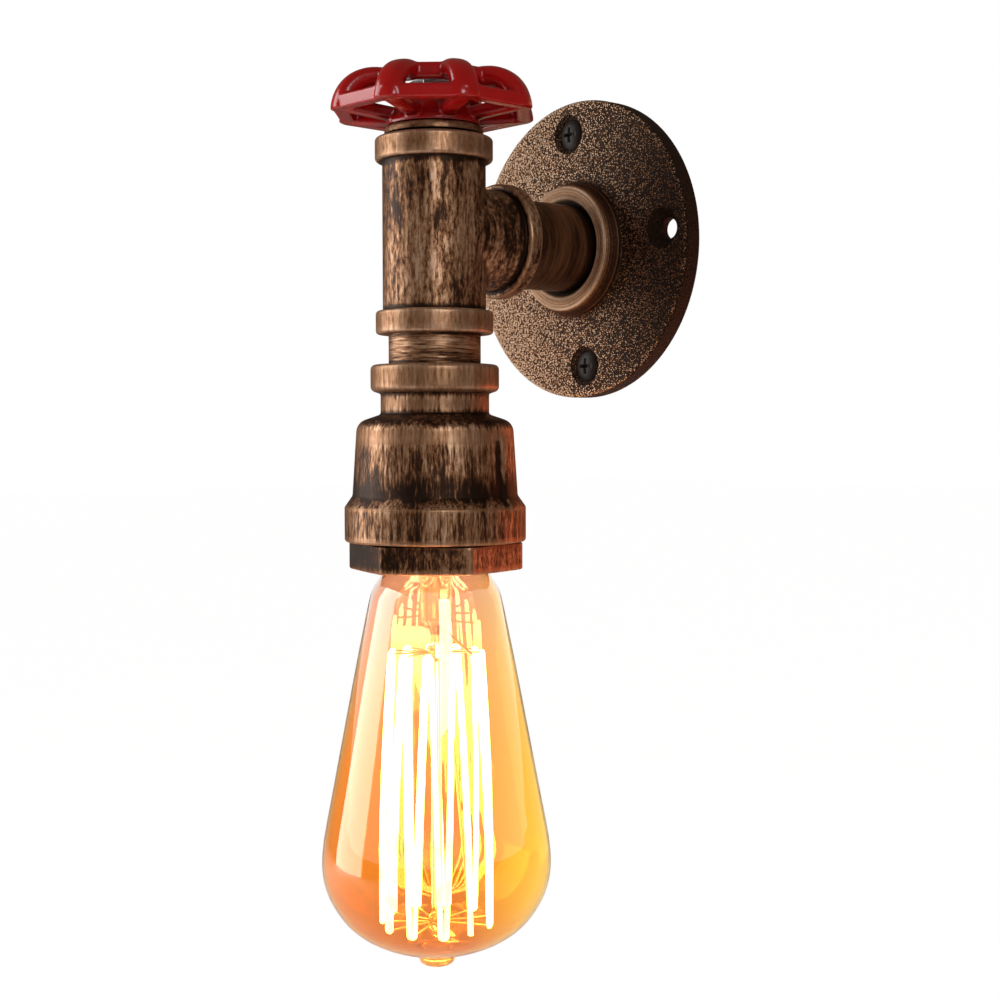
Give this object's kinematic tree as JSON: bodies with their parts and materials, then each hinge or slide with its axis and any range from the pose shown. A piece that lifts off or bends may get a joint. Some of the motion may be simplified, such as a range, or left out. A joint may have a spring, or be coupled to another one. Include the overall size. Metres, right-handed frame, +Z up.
{
  "type": "industrial pipe wall light",
  "caption": "Wall light built from pipe fittings: a round wall flange and tee, a red handwheel on top, and a bell-shaped holder below with a bare teardrop bulb.",
  "frame": {"origin": "centre of the wall flange at the wall plane, on the branch pipe's axis", "axes": "+Y into the wall, +Z up, +X to the right as seen from the room facing the wall"},
  "size_m": [0.089, 0.0934, 0.2514],
  "materials": {
    "aged_bronze_iron": "near-black paint dry-brushed with bronze on cast iron and pipe",
    "red_enamel": "glossy red paint on cast iron",
    "zinc_steel": "bright zinc plate",
    "black_steel": "black oxide",
    "white_porcelain": "glazed",
    "cap_brass": "rolled, bright",
    "black_vitrite": "fused black glass",
    "solder": "tinned",
    "amber_glass": "amber tinted, blown",
    "clear_glass": "drawn tube",
    "hot_filament": "carbonised thread, glowing",
    "nickel_wire": "drawn",
    "brown_pvc": "extruded insulation",
    "blue_pvc": "extruded insulation"
  },
  "bodies": {
    "fixture": {"wall_flange": "aged_bronze_iron", "mounting_strap": "zinc_steel", "flange_screws": "black_steel", "earth_screw": "cap_brass", "wall_nipple": "aged_bronze_iron", "tee_fitting": "aged_bronze_iron", "bonnet_plug": "aged_bronze_iron", "valve_stem": "zinc_steel", "stem_nuts": "zinc_steel", "wheel_washer": "zinc_steel", "drop_nipple": "aged_bronze_iron", "reducing_socket": "aged_bronze_iron", "hex_bush": "aged_bronze_iron", "lampholder_body": "white_porcelain", "terminal_screws": "cap_brass", "screw_shell": "cap_brass", "centre_contact": "cap_brass", "live_wire": "brown_pvc", "neutral_wire": "blue_pvc"},
    "wheel": {"handwheel": "red_enamel"},
    "bulb": {"bulb_cap": "cap_brass", "cap_insulator": "black_vitrite", "cap_contact": "solder", "bulb_glass": "amber_glass", "glass_stem": "clear_glass", "filament": "hot_filament", "cage_hooks": "nickel_wire", "leadin_wires": "nickel_wire"}
  },
  "joints": [
    {"name": "wheel_turn", "type": "hinge", "parent": "fixture", "child": "wheel", "pos_m": [0, -0.061, 0.03], "axis": [0, 0, 1], "continuous": true},
    {"name": "bulb_turn", "type": "hinge", "parent": "fixture", "child": "bulb", "pos_m": [0, -0.061, -0.08], "axis": [0, 0, -1], "range_deg": [0, 1080]}
  ]
}
